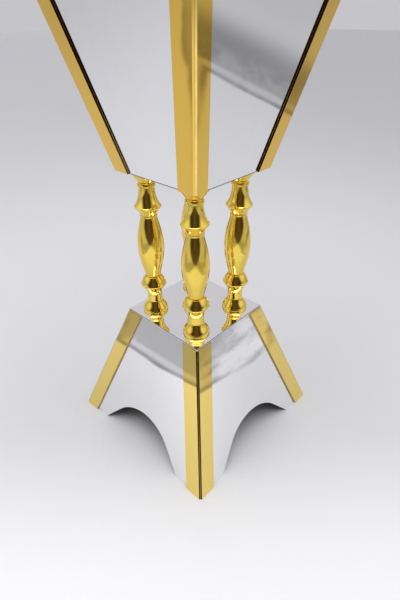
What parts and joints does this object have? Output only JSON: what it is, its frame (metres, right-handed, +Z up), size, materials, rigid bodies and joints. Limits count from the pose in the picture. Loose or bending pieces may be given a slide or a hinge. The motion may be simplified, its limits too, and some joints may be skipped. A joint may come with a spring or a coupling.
{
  "type": "wedding card box",
  "caption": "Wedding card box: tapered mirrored box with a hinged, lockable lid and a card slot, on turned gold pillars above a flared mirrored base with arched cut-outs.",
  "frame": {"origin": "middle of the base on the floor", "axes": "+Z up; -Y towards the front, where the lid opens and its lock is; the lid's hinges are on the +Y side"},
  "size_m": [0.2902, 0.3022, 0.7392],
  "materials": {
    "silver_mirror": "silver mirror acrylic sheet",
    "gold_mirror": "gold mirror acrylic sheet",
    "gold_plated": "gold-plated moulded plastic, high gloss",
    "brass": "polished",
    "steel": "zinc-plated"
  },
  "bodies": {
    "stand_and_box": {"base_panel_front": "silver_mirror", "base_panel_left": "silver_mirror", "base_panel_rear": "silver_mirror", "base_panel_right": "silver_mirror", "base_strip_front_left": "gold_mirror", "base_strip_front_right": "gold_mirror", "base_strip_left_front": "gold_mirror", "base_strip_left_rear": "gold_mirror", "base_strip_rear_left": "gold_mirror", "base_strip_rear_right": "gold_mirror", "base_strip_right_front": "gold_mirror", "base_strip_right_rear": "gold_mirror", "base_top_plate": "silver_mirror", "box_floor": "silver_mirror", "box_strip_front_left": "gold_mirror", "box_strip_front_right": "gold_mirror", "box_strip_left_front": "gold_mirror", "box_strip_left_rear": "gold_mirror", "box_strip_rear_left": "gold_mirror", "box_strip_rear_right": "gold_mirror", "box_strip_right_front": "gold_mirror", "box_strip_right_rear": "gold_mirror", "box_wall_front": "silver_mirror", "box_wall_left": "silver_mirror", "box_wall_rear": "silver_mirror", "box_wall_right": "silver_mirror", "hinge_pins": "steel", "hinge_wall_leaf_left": "brass", "hinge_wall_leaf_right": "brass", "hinge_wall_screws": "brass", "lock_keeper": "steel", "pillar_bell_front_left": "gold_plated", "pillar_bell_front_right": "gold_plated", "pillar_bell_rear_left": "gold_plated", "pillar_bell_rear_right": "gold_plated", "pillar_flange_front_left": "gold_plated", "pillar_flange_front_right": "gold_plated", "pillar_flange_rear_left": "gold_plated", "pillar_flange_rear_right": "gold_plated", "pillar_foot_front_left": "gold_plated", "pillar_foot_front_right": "gold_plated", "pillar_foot_rear_left": "gold_plated", "pillar_foot_rear_right": "gold_plated", "pillar_vase_front_left": "gold_plated", "pillar_vase_front_right": "gold_plated", "pillar_vase_rear_left": "gold_plated", "pillar_vase_rear_right": "gold_plated", "rod_nuts": "steel", "rod_washers": "steel", "tie_rods": "steel"},
    "lid": {"lid_panel": "silver_mirror", "lid_border": "gold_mirror", "slot_frame": "gold_mirror", "hinge_lid_leaf_left": "brass", "hinge_lid_leaf_right": "brass", "hinge_lid_screws": "brass", "lock_barrel": "brass", "lock_nut": "steel"},
    "lock": {"lock_plug": "steel", "lock_cam": "steel"}
  },
  "joints": [
    {"name": "lid_hinge", "type": "hinge", "parent": "stand_and_box", "child": "lid", "pos_m": [0, 0.14828, 0.7352], "axis": [-1, 0, 0], "range_deg": [0, 110]},
    {"name": "lock_turn", "type": "hinge", "parent": "lid", "child": "lock", "pos_m": [0, -0.10522, 0.725], "axis": [0, 0, 1], "range_deg": [0, 90]}
  ]
}
